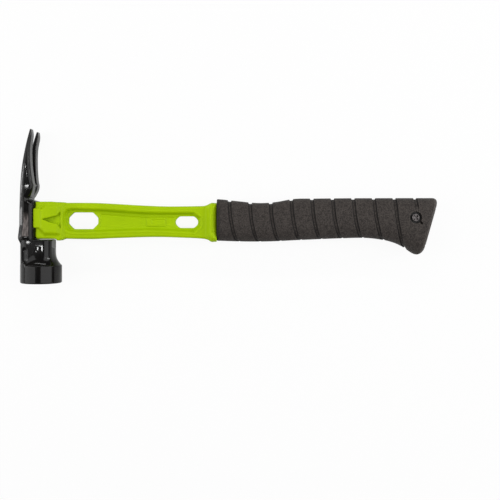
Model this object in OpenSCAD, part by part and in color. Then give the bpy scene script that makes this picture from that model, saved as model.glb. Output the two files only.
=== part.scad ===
// Modular claw hammer, lying on its side.
// X runs from the head to the butt, Y from the striking face to the claw, Z is up.
// The pieces are drawn from the seat between head and handle: x = 0 is the seat face,
// y = 0 the bolt axis and z = 0 the middle plane. place() moves them into the part frame.

/* [Overall] */
// Length from the nail stop on the head to the end of the grip
overall_length = 355.6; // [300:0.1:430]
// Length of the rubber grip with its cap, along the top edge
grip_length = 187.6; // [150:0.1:225]
// Bolt axis to the claw tips
claw_reach = 75.4; // [62:0.1:92]
// Bolt axis to the striking face
face_reach = 54.6; // [50:0.1:66]

/* [Head] */
// Diameter of the striking face
face_d = 35; // [29:0.1:42]
// Length of the cylindrical rim behind the face
rim_l = 15.6; // [10:0.1:19]
// Offset of the face axis from the seat, towards the grip
face_offset = 3.2; // [1:0.1:5]
// Chamfer around the face
face_chamfer = 1.2; // [0.5:0.1:2.5]
// Thickness of the spine at the bolt
spine_t = 13.2; // [11:0.1:16]
// Width of the spine across the cheeks
spine_w = 25; // [22:0.1:30]
// Width across the claw tips
claw_w = 34; // [28:0.1:41]
// Gap between the claw tips
slot_w = 14; // [9:0.1:17]
// How far the nail stop stands out past the spine
stop_h = 1.2; // [0.5:0.1:2.5]
// Width of the neck across the cheeks
neck_w = 27; // [24:0.1:29]
// Depth of the neck behind the seat
neck_back = 14.2; // [11:0.1:15.5]
// Radius of the nail starter groove
nail_groove_r = 2.6; // [2:0.1:3.2]

/* [Fixings] */
// Thread diameter of the head bolt
bolt_d = 8; // [6.5:0.1:9.6]
// Diameter of the bolt head
bolt_head_d = 13; // [11.5:0.1:15.6]
// Height of the bolt head
bolt_head_h = 5; // [4:0.1:5.6]
// Length of the bolt under its head
bolt_l = 25; // [22:0.1:26]
// Key size of the hex socket
bolt_key = 5; // [4:0.5:6]
// Thickness of the spring washer
washer_t = 1.4; // [1:0.1:1.8]
// Outer diameter of the thread insert
insert_d = 11.6; // [10.8:0.1:13.4]
// Length of the thread insert
insert_l = 15.5; // [12:0.1:16.5]
// Diameter of the nail magnet
magnet_d = 6; // [4:0.1:7]
// Thickness of the nail magnet
magnet_t = 4; // [2:0.1:5]
// Thread diameter of the grip screw
grip_screw_d = 4; // [3:0.1:4.8]
// Head diameter of the grip screw and of its barrel nut
grip_screw_head_d = 6.6; // [6.2:0.1:8]
// Diameter of the counterbore that the screw head sits in
counterbore_d = 10; // [9:0.1:12]

/* [Handle] */
// Height of the block that seats on the head
block_h = 31.7; // [30:0.1:33]
// Length of the block along the handle
block_l = 21; // [19:0.1:25]
// Thickness of the block without its pads
block_t = 16; // [15:0.1:20]
// Height of each raised pad on the block
pad_h = 2.4; // [1.5:0.1:3]
// How far the boss stands into the head
boss_h = 1.5; // [1:0.1:2.5]
// Height and width of the boss
boss_size = 15; // [13:0.1:17]
// Thickness of the beam
beam_t = 12.6; // [11:0.1:15]
// Thickness of the web between the two recesses
web_t = 6.6; // [4:0.1:9]
// Length of the window near the head
front_window_l = 25.6; // [18:0.1:30]
// Height of the window near the head
front_window_h = 14.2; // [10:0.1:15]
// Length of the window near the grip
rear_window_l = 19.2; // [14:0.1:23]
// Height of the window near the grip
rear_window_h = 9.9; // [8:0.1:11]
// Thickness of the collar in front of the grip
collar_t = 23; // [20:0.1:26]
// Height of the tang inside the grip
tang_h = 18; // [14:0.1:19]
// Thickness of the tang
tang_t = 7; // [5:0.1:8]

/* [Grip] */
// Thickness of the grip at its waist
grip_t = 27; // [25:0.1:32]
// Thickness of the grip at the butt
butt_t = 34; // [30:0.1:34.5]
// Slant of the butt from square
butt_slant = 15.9; // [8:0.1:20]
// Thickness of the butt cap
cap_t = 4.4; // [3.5:0.1:6]
// Radius round the rim of the butt cap
cap_round = 3; // [1.5:0.1:3.4]
// Outer height of the rigid core
core_h = 23; // [22.5:0.1:24]
// Outer thickness of the rigid core
core_t = 17; // [14:0.1:18]

/* [Clearances] */
// Gap round a bolt, boss or tang that is slid into place
slide_gap = 0.15; // [0.1:0.01:0.3]
// Gap round a piece that is pressed or screwed in
snug_gap = 0.05; // [0.02:0.01:0.1]

/* [Hidden] */
$fn = 72;
over = 0.5; // how far a cutting body runs past the face it opens

// Extents and places along the object
head_front_x = -(spine_t + stop_h);
end_x = overall_length + head_front_x;
grip_x = end_x - grip_length;
collar_x = grip_x - 0.2;
block_mid_y = -1.1;
block_top_y = block_mid_y + block_h / 2;
block_bottom_y = block_mid_y - block_h / 2;
neck_top_y = block_bottom_y - 0.6;
rim_y = -face_reach + rim_l;
rest_z = max(face_d, claw_w, butt_t) / 2;

// Bolt stack: pocket floor, counterbore floor, head
pocket_x = -(boss_h + 0.2);
bolt_seat_x = -(spine_t - bolt_head_h - washer_t - 0.2);
bolt_head_x = bolt_seat_x - washer_t;
bolt_tip_x = bolt_head_x + bolt_l;
insert_x = -boss_h + 0.5;

// Grip screw: it crosses the tang this far from the end of the grip
screw_x = end_x - 21;
screw_y = 1.2;
tang_end_x = screw_x + 5.5;
tang_mid_y = -0.4;
core_mid_y = -0.9;
core_end_x = tang_end_x + 1.2;

module place() {
  translate([-(head_front_x + end_x) / 2, -(claw_reach - face_reach) / 2, rest_z]) children();
}

// ---- curves ----

function held(list, i) = list[max(0, min(len(list) - 1, i))];

function blend(a, b, c, d, t) =
  0.5 * (2 * b + (c - a) * t + (2 * a - 5 * b + 4 * c - d) * t * t + (3 * b - a - 3 * c + d) * t * t * t);

// A smooth curve through the points, each span in the given number of steps
function curve(points, steps) = concat(
  [
    for (i = [0 : len(points) - 2], j = [0 : steps - 1])
      blend(held(points, i - 1), points[i], points[i + 1], held(points, i + 2), j / steps)
  ],
  [points[len(points) - 1]]
);

function backwards(list) = [for (i = [len(list) - 1 : -1 : 0]) list[i]];

// A rectangle with its corners cut at 45 degrees
module cut_corner_rect(length, height, cut) {
  a = length / 2;
  b = height / 2;
  polygon([
    [-a + cut, -b], [a - cut, -b], [a, -b + cut], [a, b - cut],
    [a - cut, b], [-a + cut, b], [-a, b - cut], [-a, -b + cut],
  ]);
}

// A rectangle with round corners
module round_rect(length, height, r) {
  square([length - 2 * r, height], center = true);
  square([length, height - 2 * r], center = true);
  for (sx = [-1, 1], sy = [-1, 1])
    translate([sx * (length / 2 - r), sy * (height / 2 - r)]) circle(r = r);
}

// A flat outline in X and Y, given its thickness about the middle plane
module plate(t) {
  translate([0, 0, -t / 2]) linear_extrude(t) children();
}

// A flat outline in Z (first) and Y, run along X from x0 to x1
module along_x(x0, x1) {
  translate([x0, 0, 0]) rotate([0, 90, 0]) linear_extrude(x1 - x0) children();
}

// A round bar along X from x0 to x1
module rod_x(d, x0, x1) {
  translate([x0, 0, 0]) rotate([0, 90, 0]) cylinder(d = d, h = x1 - x0);
}

// ---- head ----

claw_start_y = -5;
claw_bend = 2.545;
claw_rise = spine_t - 2.5;

// Outer face of the spine and claw at height y
function claw_outer_x(y) =
  -spine_t + claw_rise * pow(max(0, y - claw_start_y) / (claw_reach - claw_start_y), claw_bend);

heel_y = block_top_y + 14;
tip_t = 0.9;

// Inner face of the claw, from the seat over the heel to the tip
claw_inner_points = [
  [0, block_top_y + 0.5],
  [-4.6, block_top_y + 2.2],
  [-3.4, block_top_y + 5],
  [-1.3, heel_y - 4.2],
  [-0.7, heel_y],
  [-1.6, heel_y + 4.5],
  [-2.7, heel_y + 0.36 * (claw_reach - heel_y)],
  [-2.7, heel_y + 0.66 * (claw_reach - heel_y)],
  [-1.2, claw_reach - 5.5],
  [-spine_t + claw_rise + tip_t, claw_reach],
];

module spine_outline() {
  claw_steps = 18;
  polygon(concat(
    curve(claw_inner_points, 3),
    [
      for (i = [0 : claw_steps])
        let (y = claw_reach - (claw_reach - claw_start_y) * i / claw_steps) [claw_outer_x(y), y]
    ],
    [
      [head_front_x, neck_top_y + 3],
      [head_front_x, neck_top_y + 0.6],
      [-spine_t + 0.6, neck_top_y - 3],
      [0, neck_top_y - 3],
    ]
  ));
}

// Half width of the spine and claw, from the neck to the tips
half_width_points = [
  [spine_w / 2, neck_top_y - 3.5],
  [spine_w / 2, block_top_y],
  [spine_w / 2 + 0.25 * (claw_w - spine_w) / 2, heel_y],
  [spine_w / 2 + 0.66 * (claw_w - spine_w) / 2, heel_y + 18],
  [claw_w / 2, claw_reach + over],
];

module front_outline() {
  right = curve(half_width_points, 6);
  polygon(concat(right, [for (p = backwards(right)) [-p[0], p[1]]]));
}

slot_root_y = heel_y - 1;

// The claw slot: it opens as a square-root curve, so it is round at its root
module slot_outline() {
  slot_steps = 16;
  half = [
    for (i = [0 : slot_steps])
      let (s = pow(i / slot_steps, 2)) [slot_w / 2 * sqrt(s), slot_root_y + (claw_reach - slot_root_y) * s]
  ];
  polygon(concat(
    half,
    [[slot_w / 2, claw_reach + 1], [-slot_w / 2, claw_reach + 1]],
    [for (i = [slot_steps : -1 : 1]) [-half[i][0], half[i][1]]]
  ));
}

// Bevel along a spine edge that runs in Y, at x and z
module edge_bevel(x, z, size, y0, y1) {
  translate([x, y0, z])
    rotate([-90, 0, 0])
      rotate([0, 0, 45]) translate([-size / 2, -size / 2, 0]) cube([size, size, y1 - y0]);
}

neck_front_x = -(spine_t - 0.6);
neck_mid_x = (neck_front_x + neck_back) / 2;
neck_r = 6;
flare_l = 9;

// Quarter-round flare from the neck out to the rim, turned about the face axis
module rim_and_flare() {
  neck_radius = min(neck_w, neck_back - neck_front_x) / 2 - 0.6;
  flare_r = face_d / 2 - 0.8 - neck_radius;
  flare_steps = 8;
  translate([face_offset, 0, 0]) rotate([-90, 0, 0]) rotate_extrude()
    polygon(concat(
      [
        [0, -face_reach],
        [face_d / 2 - face_chamfer, -face_reach],
        [face_d / 2, -face_reach + face_chamfer],
        [face_d / 2, rim_y - 0.8],
        [face_d / 2 - 0.8, rim_y],
      ],
      [
        for (i = [1 : flare_steps])
          let (a = 90 * i / flare_steps)
            [face_d / 2 - 0.8 - flare_r * sin(a), rim_y + flare_l * (1 - cos(a))]
      ],
      [[0, rim_y + flare_l]]
    ));
}

module neck_block() {
  translate([neck_mid_x, neck_top_y, 0])
    rotate([90, 0, 0])
      linear_extrude(neck_top_y - rim_y + 1) round_rect(neck_back - neck_front_x, neck_w, neck_r);
}

dimple_r = 4;
dimple_depth = 1.1;

// Long shallow dimple on a cheek of the neck
module cheek_dimple() {
  y0 = rim_y + 5.5;
  y1 = neck_top_y - 9.5;
  translate([neck_front_x + 3.9, y0, neck_w / 2 + dimple_r - dimple_depth]) {
    rotate([-90, 0, 0]) cylinder(r = dimple_r, h = y1 - y0);
    sphere(r = dimple_r);
    translate([0, y1 - y0, 0]) sphere(r = dimple_r);
  }
}

groove_axis_x = neck_front_x - 0.9;
groove_floor_x = groove_axis_x + nail_groove_r;
magnet_y = neck_top_y - 10;

module head() {
  color([0.07, 0.065, 0.06]) difference() {
    union() {
      intersection() {
        plate(claw_w + 2) spine_outline();
        along_x(head_front_x - over, over) front_outline();
      }
      neck_block();
      rim_and_flare();
    }
    along_x(head_front_x - over, over) slot_outline();
    // Nail puller groove on the inner side, below the root of the slot
    translate([0.6, block_top_y + 4, 0]) rotate([-90, 0, 0]) cylinder(r = 3.2, h = heel_y + 6 - block_top_y);
    for (s = [-1, 1]) {
      edge_bevel(-spine_t, s * spine_w / 2, 2.6, neck_top_y + 1, claw_reach - 25);
      edge_bevel(0, s * spine_w / 2, 3.4, neck_top_y, block_top_y + 3);
    }
    for (s = [0, 1]) mirror([0, 0, s]) cheek_dimple();
    // Bolt hole, counterbore and boss pocket
    rod_x(bolt_d + 2 * slide_gap, bolt_seat_x - over, over);
    rod_x(bolt_head_d + 0.6, head_front_x - over, bolt_seat_x);
    translate([pocket_x, -(boss_size / 2 + slide_gap), -(boss_size / 2 + slide_gap)])
      cube([over - pocket_x, boss_size + 2 * slide_gap, boss_size + 2 * slide_gap]);
    // Nail starter groove and the magnet hole in its floor
    translate([groove_axis_x, -face_reach - over, 0])
      rotate([-90, 0, 0]) cylinder(r = nail_groove_r, h = face_reach + over + neck_top_y - 3);
    translate([0, magnet_y, 0]) rod_x(magnet_d + 2 * snug_gap, head_front_x, groove_floor_x + magnet_t);
  }
}

module nail_magnet() {
  color([0.6, 0.6, 0.62])
    translate([0, magnet_y, 0]) rod_x(magnet_d, groove_floor_x, groove_floor_x + magnet_t);
}

// ---- head fixing ----

module head_bolt() {
  color([0.2, 0.2, 0.21]) difference() {
    union() {
      rod_x(bolt_head_d, bolt_head_x - bolt_head_h, bolt_head_x);
      rod_x(bolt_d, bolt_head_x, bolt_tip_x);
    }
    translate([bolt_head_x - bolt_head_h - over, 0, 0])
      rotate([0, 90, 0]) cylinder(d = bolt_key / cos(30), h = bolt_head_h * 0.6 + over, $fn = 6);
  }
}

module bolt_washer() {
  color([0.55, 0.55, 0.57]) difference() {
    rod_x(bolt_head_d - 0.2, bolt_head_x, bolt_seat_x);
    rod_x(bolt_d + 4 * slide_gap, bolt_head_x - over, bolt_seat_x + over);
  }
}

module thread_insert() {
  color([0.7, 0.7, 0.72]) difference() {
    rod_x(insert_d, insert_x, insert_x + insert_l);
    rod_x(bolt_d + 2 * snug_gap, insert_x - over, insert_x + insert_l + over);
  }
}

// ---- handle ----

beam_x = block_l;
beam_l = collar_x - beam_x;
collar_l = 7;
collar_top_y = 13.6;
collar_bottom_y = -19.4;

// Upper and lower edge of the beam: [share of the beam's length, y]
beam_top_points = [
  [0, 13.8], [0.2, 13.7], [0.34, 12.9], [0.52, 11.5], [0.68, 10.7], [0.86, 11], [1, collar_top_y],
];
beam_bottom_points = [
  [0, -16.7], [0.2, -17.1], [0.34, -16.3], [0.6, -15.3], [0.8, -16], [0.92, -17], [1, collar_bottom_y],
];

function along_beam(points) = [for (p = points) [beam_x + p[0] * beam_l, p[1]]];

module beam_outline() {
  polygon(concat(
    [[block_l - 8, block_top_y - 2]],
    curve(along_beam(beam_top_points), 5),
    backwards(curve(along_beam(beam_bottom_points), 5)),
    [[block_l - 8, block_bottom_y + 2]]
  ));
}

module block_outline() {
  corner = 1.6;
  lip = 1.3;
  polygon([
    [0, block_bottom_y + corner],
    [corner, block_bottom_y],
    [neck_back + 3.2, block_bottom_y],
    [neck_back + 3.8, block_bottom_y - lip],
    [block_l, block_bottom_y - lip],
    [block_l + 2.4, beam_bottom_points[0][1]],
    [block_l + 2.4, beam_top_points[0][1]],
    [block_l - 7, block_top_y],
    [corner / 2, block_top_y],
    [0, block_top_y - corner / 2],
  ]);
}

pad_x0 = 3;
pad_top_y = block_top_y - 2.8;
pad_bottom_y = block_bottom_y + 3.4;

module pad_outline() {
  corner = 5;
  polygon([
    [pad_x0, pad_bottom_y + corner],
    [pad_x0 + corner, pad_bottom_y],
    [block_l - 1.2, pad_bottom_y],
    [block_l, pad_bottom_y + 1.2],
    [block_l, pad_top_y - 1.2],
    [block_l - 1.2, pad_top_y],
    [pad_x0 + corner, pad_top_y],
    [pad_x0, pad_top_y - corner],
  ]);
}

// Side nail puller: a notch that opens towards the beam
module puller_outline() {
  tip_x = block_l - 14.4;
  polygon([
    [tip_x, -0.2],
    [block_l - 2.4, 2.9],
    [block_l + over, 5.6],
    [block_l + over, -7.6],
    [block_l - 2.4, -4.4],
  ]);
}

recess_top_points = [[0.075, 9.4], [0.3, 8.3], [0.55, 6], [0.86, 5.8]];
recess_bottom_points = [[0.075, -11.7], [0.25, -11.4], [0.56, -9.9], [0.82, -11.9]];

// Outline of the long recess in each side of the beam
module recess_outline() {
  polygon(concat(
    [[beam_x + 2, -5], [beam_x + 2, 3.6]],
    curve(along_beam(recess_top_points), 3),
    along_beam([[0.9, 1.8], [0.9, -6.8]]),
    backwards(curve(along_beam(recess_bottom_points), 3))
  ));
}

front_window_x = beam_x + 18.7;
front_window_y = -1.5;
rear_window_x = collar_x - 25.4;
rear_window_y = -2.7;
window_cut_share = 0.33;

module windows() {
  translate([front_window_x, front_window_y])
    cut_corner_rect(front_window_l, front_window_h, front_window_h * window_cut_share);
  translate([rear_window_x, rear_window_y])
    cut_corner_rect(rear_window_l, rear_window_h, rear_window_h * window_cut_share);
}

module tang() {
  translate([(collar_x + tang_end_x) / 2 - 1, tang_mid_y, 0])
    plate(tang_t) square([tang_end_x - collar_x + 2, tang_h], center = true);
}

module collar() {
  collar_h = collar_top_y - collar_bottom_y;
  translate([0, (collar_top_y + collar_bottom_y) / 2, 0])
    along_x(collar_x - collar_l / 2, collar_x) round_rect(collar_t, collar_h, 8);
}

module handle() {
  puller_depth = pad_h + 0.8;
  color([0.62, 0.76, 0.05]) difference() {
    union() {
      plate(block_t) block_outline();
      plate(block_t + 2 * pad_h) pad_outline();
      plate(beam_t) beam_outline();
      collar();
      tang();
      translate([-boss_h, -boss_size / 2, -boss_size / 2]) cube([boss_h + 1, boss_size, boss_size]);
    }
    for (s = [0, 1]) mirror([0, 0, s]) {
      translate([0, 0, block_t / 2 + pad_h - puller_depth])
        linear_extrude(puller_depth + over) puller_outline();
      translate([0, 0, web_t / 2]) linear_extrude(beam_t) recess_outline();
    }
    plate(collar_t) windows();
    rod_x(insert_d + 2 * snug_gap, -boss_h - over, insert_x + insert_l);
    rod_x(bolt_d + 2 * slide_gap, 0, bolt_tip_x + 1);
    translate([screw_x, screw_y, -tang_t]) cylinder(d = barrel_d + 2 * slide_gap, h = 2 * tang_t);
  }
}

// ---- grip ----

// Upper and lower edge of the grip: [share of its length, y]
grip_top_points = [
  [0, 17], [0.09, 15.4], [0.19, 13.7], [0.27, 14.4], [0.36, 17.2], [0.46, 17.5], [0.62, 17.8], [1, 17.9],
];
grip_bottom_points = [
  [0, -18.6], [0.12, -19.2], [0.25, -19.2], [0.4, -18], [0.62, -16.5], [0.74, -16.3], [0.84, -18.6],
  [0.91, -22.6], [1, -30.4],
];
// Half thickness: [share of its length, share of the way from waist to butt]
grip_swell_points = [[0, 0.12], [0.2, 0], [0.45, 0.25], [0.7, 0.1], [0.88, 0.65], [1, 1]];
oval_power = 2.5;
grip_sides = 40;
grip_rings = 38;

slant_t = [sin(butt_slant), cos(butt_slant)];
grip_top_end_y = grip_top_points[len(grip_top_points) - 1][1];
grip_bottom_end_y = grip_bottom_points[len(grip_bottom_points) - 1][1];

// The round rim of the cap stays this far behind the corner of its plane
rim_steps = 4;
corner_setback = cap_round * min([
  for (i = [0 : rim_steps])
    let (a = 90 * i / rim_steps) (1 - sin(a)) / cos(butt_slant) + (1 - cos(a)) * sin(butt_slant)
]);

// The butt plane, which leans back towards the lower edge
function butt_x(y) = end_x + corner_setback + (y - grip_top_end_y) * tan(butt_slant);

// Value of a list of [share, value] points at a share, smoothly
function value_at(points, share) =
  let (
    i = max([for (k = [0 : len(points) - 2]) if (points[k][0] <= share) k]),
    t = (share - points[i][0]) / (points[i + 1][0] - points[i][0])
  )
  blend(held(points, i - 1), points[i], points[i + 1], held(points, i + 2), t)[1];

// Share of the way round an oval with squarish flanks
function oval_part(c) = sign(c) * pow(abs(c), 2 / oval_power);

// Half thickness of the grip at a share of its length
function grip_half_t(share) = (grip_t + (butt_t - grip_t) * value_at(grip_swell_points, share)) / 2;

// One ring of points in the plane through the upper and lower edge point
function oval_ring(top, bottom, half_t) = [
  for (k = [0 : grip_sides - 1])
    let (
      a = 360 * k / grip_sides,
      p = (top + bottom) / 2 + (top - bottom) / 2 * oval_part(cos(a))
    )
    [p[0], p[1], half_t * oval_part(sin(a))]
];

// Ring at a share of the grip: the planes fan from square at the collar to the butt's slant
function grip_ring(share, back) =
  let (
    top_x = grip_x + (butt_x(grip_top_end_y) - back - grip_x) * share,
    bottom_x = grip_x + (butt_x(grip_bottom_end_y) - back - grip_x) * share,
    top = [top_x, value_at(grip_top_points, share)],
    bottom = [bottom_x, value_at(grip_bottom_points, share)]
  )
  oval_ring(top, bottom, grip_half_t(share));

// A closed solid through a list of rings with the same number of points
module loft(rings) {
  n = len(rings[0]);
  last = len(rings) - 1;
  polyhedron(
    points = [for (ring = rings, p = ring) p],
    faces = concat(
      [[for (k = [0 : n - 1]) k]],
      [
        for (i = [0 : last - 1], k = [0 : n - 1])
          let (a = i * n + k, b = i * n + (k + 1) % n) each [[a, a + n, b], [b, a + n, b + n]]
      ],
      [[for (k = [n - 1 : -1 : 0]) last * n + k]]
    )
  );
}

module core_section(grow) {
  translate([0, core_mid_y]) round_rect(core_t + 2 * grow, core_h + 2 * grow, 5);
}

module tang_section(grow) {
  translate([0, tang_mid_y]) square([tang_t + 2 * grow, tang_h + 2 * grow], center = true);
}

barrel_d = grip_screw_d + 2;
screw_head_h = 2.4;
screw_sink = 1.3;
screw_share = (screw_x - grip_x) / (butt_x(screw_y) - cap_t / cos(butt_slant) - grip_x);
screw_seat_z = grip_half_t(screw_share) - screw_sink - screw_head_h;

module grip_core() {
  color([0.1, 0.1, 0.1]) difference() {
    union() {
      along_x(grip_x + 0.5, core_end_x) core_section(0);
      // Bosses that carry the screw head and the nut up to the surface of the rubber
      translate([screw_x, screw_y, 0])
        cylinder(d = counterbore_d - 2 * slide_gap, h = 2 * screw_seat_z, center = true);
    }
    along_x(grip_x - over, tang_end_x + slide_gap) tang_section(slide_gap);
    translate([screw_x, screw_y, 0]) cylinder(d = grip_screw_d + 2 * slide_gap, h = butt_t);
    translate([screw_x, screw_y, -butt_t]) cylinder(d = barrel_d + 2 * slide_gap, h = butt_t);
  }
}

module grip_overlay() {
  color([0.23, 0.21, 0.2]) difference() {
    loft([for (i = [0 : grip_rings]) grip_ring(i / grip_rings, cap_t / cos(butt_slant))]);
    along_x(grip_x - over, core_end_x + 0.2) core_section(0);
    translate([screw_x, screw_y, -butt_t]) cylinder(d = counterbore_d, h = 2 * butt_t);
    translate([spigot_x0 - 0.3, spigot_y - spigot_h / 2 - 0.3, -spigot_t / 2 - 0.3])
      cube([end_x, spigot_h + 0.6, spigot_t + 0.6]);
  }
}

spigot_x0 = core_end_x + 0.6;
spigot_y = -2;
spigot_h = 12;
spigot_t = 10;

// Ring of the cap: set back from the butt plane and drawn in from the grip's own outline
function cap_ring(back, inset) =
  let (
    back_x = back / cos(butt_slant),
    top = [butt_x(grip_top_end_y) - back_x, grip_top_end_y] - inset * slant_t,
    bottom = [butt_x(grip_bottom_end_y) - back_x, grip_bottom_end_y] + inset * slant_t
  )
  oval_ring(top, bottom, butt_t / 2 - inset);

module grip_cap() {
  color([0.2, 0.18, 0.17]) union() {
    loft(concat(
      [cap_ring(cap_t, 0)],
      [
        for (i = [0 : rim_steps])
          let (a = 90 * i / rim_steps) cap_ring(cap_round * (1 - sin(a)), cap_round * (1 - cos(a)))
      ]
    ));
    translate([spigot_x0, spigot_y - spigot_h / 2, -spigot_t / 2])
      cube([butt_x(spigot_y - spigot_h / 2) - cap_round - spigot_x0, spigot_h, spigot_t]);
  }
}

module grip_screw() {
  cross_l = grip_screw_head_d * 0.62;
  cross_t = grip_screw_d * 0.22;
  top_z = screw_seat_z + screw_head_h;
  color([0.35, 0.34, 0.34]) translate([screw_x, screw_y, 0]) difference() {
    union() {
      translate([0, 0, screw_seat_z]) cylinder(d = grip_screw_head_d, h = screw_head_h);
      translate([0, 0, -tang_t / 2 - 1]) cylinder(d = grip_screw_d, h = screw_seat_z + tang_t / 2 + 1);
    }
    for (turn = [45, 135])
      translate([0, 0, top_z]) rotate(turn) cube([cross_l, cross_t, screw_head_h], center = true);
  }
}

module grip_barrel_nut() {
  barrel_top_z = tang_t / 2;
  slot_t = 1.2;
  color([0.35, 0.34, 0.34]) translate([screw_x, screw_y, 0]) difference() {
    union() {
      translate([0, 0, -screw_seat_z - screw_head_h]) cylinder(d = grip_screw_head_d, h = screw_head_h);
      translate([0, 0, -screw_seat_z]) cylinder(d = barrel_d, h = screw_seat_z + barrel_top_z);
    }
    translate([0, 0, -screw_seat_z]) cylinder(d = grip_screw_d + 2 * snug_gap, h = 2 * screw_seat_z);
    translate([0, 0, -screw_seat_z - screw_head_h])
      cube([grip_screw_head_d + 1, slot_t, screw_head_h], center = true);
  }
}

place() head();
place() nail_magnet();
place() head_bolt();
place() bolt_washer();
place() thread_insert();
place() handle();
place() grip_core();
place() grip_overlay();
place() grip_cap();
place() grip_screw();
place() grip_barrel_nut();
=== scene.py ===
import bpy
import numpy as np
import openvdb
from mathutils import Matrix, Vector


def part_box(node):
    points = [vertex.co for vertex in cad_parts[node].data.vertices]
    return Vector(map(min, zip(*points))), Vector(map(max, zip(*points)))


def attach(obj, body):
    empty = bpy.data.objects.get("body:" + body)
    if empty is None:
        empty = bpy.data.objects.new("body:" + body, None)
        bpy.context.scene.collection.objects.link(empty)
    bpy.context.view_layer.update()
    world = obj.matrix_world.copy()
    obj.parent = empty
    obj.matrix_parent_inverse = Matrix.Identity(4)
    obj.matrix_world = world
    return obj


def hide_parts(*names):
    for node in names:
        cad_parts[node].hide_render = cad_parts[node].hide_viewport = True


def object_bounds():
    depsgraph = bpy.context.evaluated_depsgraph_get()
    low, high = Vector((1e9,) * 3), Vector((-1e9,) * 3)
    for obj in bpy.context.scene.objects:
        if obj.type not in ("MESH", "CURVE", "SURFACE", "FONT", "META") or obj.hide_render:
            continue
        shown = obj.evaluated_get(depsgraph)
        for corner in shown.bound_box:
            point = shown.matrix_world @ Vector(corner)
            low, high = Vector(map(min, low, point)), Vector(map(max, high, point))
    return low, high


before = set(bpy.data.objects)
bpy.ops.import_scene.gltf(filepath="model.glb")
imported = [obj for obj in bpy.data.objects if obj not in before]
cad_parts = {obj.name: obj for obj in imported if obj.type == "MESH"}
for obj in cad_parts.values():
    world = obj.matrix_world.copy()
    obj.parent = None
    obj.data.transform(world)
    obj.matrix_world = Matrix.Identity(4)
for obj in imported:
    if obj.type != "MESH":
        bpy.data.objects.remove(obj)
cad_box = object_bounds()

# ---------------------------------------------------------------------------------------
# Head: one closed-die steel forging with a split claw, a spine, a neck and a round face.
# The cheeks, slot and face are ground, and the gloss black coat shows it on the cheeks:
# a pale streaked band on the cheek flats is partly ground steel and partly painted reflection.
# It sits on the end of the handle, and its hole takes the bolt that holds it there.
# ---------------------------------------------------------------------------------------

# Shapes are worked out in millimetres from the seat between head and handle, on the bolt axis
boss_h = 1.5
bolt_corner_low, bolt_corner_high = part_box("head_bolt")
seat = Vector((
    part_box("handle")[0].x + boss_h / 1000,
    (bolt_corner_low.y + bolt_corner_high.y) / 2,
    (bolt_corner_low.z + bolt_corner_high.z) / 2,
))
# The sine of 45 degrees
diagonal = 0.7071


def from_seat(point):
    """A point of the frame in millimetres from the seat."""
    return (np.array(point) - np.array(seat)) * 1000


def between(a, b, c, d, t):
    """A point of the smooth curve that runs from b to c, with a before them and d after."""
    return 0.5 * (2 * b + (c - a) * t + (2 * a - 5 * b + 4 * c - d) * t**2 + (3 * b - a - 3 * c + d) * t**3)


def smooth_line(points, steps):
    """Points along a smooth curve through the given points."""
    line = []
    for i in range(len(points) - 1):
        a, b, c, d = (np.array(points[max(0, min(len(points) - 1, k))], float) for k in range(i - 1, i + 3))
        line += [tuple(between(a, b, c, d, t)) for t in np.arange(steps) / steps]
    return line + [tuple(points[-1])]


def outline_distance(points, x, y):
    """Distance to a closed outline, negative inside it."""
    x, y = np.broadcast_arrays(x, y)
    nearest = np.full(x.shape, np.inf)
    side = np.ones(x.shape)
    for (ax, ay), (bx, by) in zip(points, points[1:] + points[:1], strict=True):
        ex, ey = bx - ax, by - ay
        wx, wy = x - ax, y - ay
        share = np.clip((wx * ex + wy * ey) / (ex * ex + ey * ey + 1e-12), 0, 1)
        nearest = np.minimum(nearest, (wx - ex * share) ** 2 + (wy - ey * share) ** 2)
        above, below, left = y >= ay, y < by, ex * wy > ey * wx
        side = np.where((above & below & left) | (~above & ~below & ~left), -side, side)
    return side * np.sqrt(nearest)


def join(a, b, fillet):
    """Two solids as one, with a round fillet where they meet."""
    corner = np.hypot(np.maximum(fillet - a, 0), np.maximum(fillet - b, 0))
    return np.maximum(fillet, np.minimum(a, b)) - corner


def common(a, b, round_r):
    """What two solids share, with a round edge where their faces meet."""
    corner = np.hypot(np.maximum(round_r + a, 0), np.maximum(round_r + b, 0))
    return np.minimum(-round_r, np.maximum(a, b)) + corner


def cut(a, b, round_r):
    """The first solid with the second taken out, and a round edge on the cut."""
    return common(a, -b, round_r)


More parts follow.
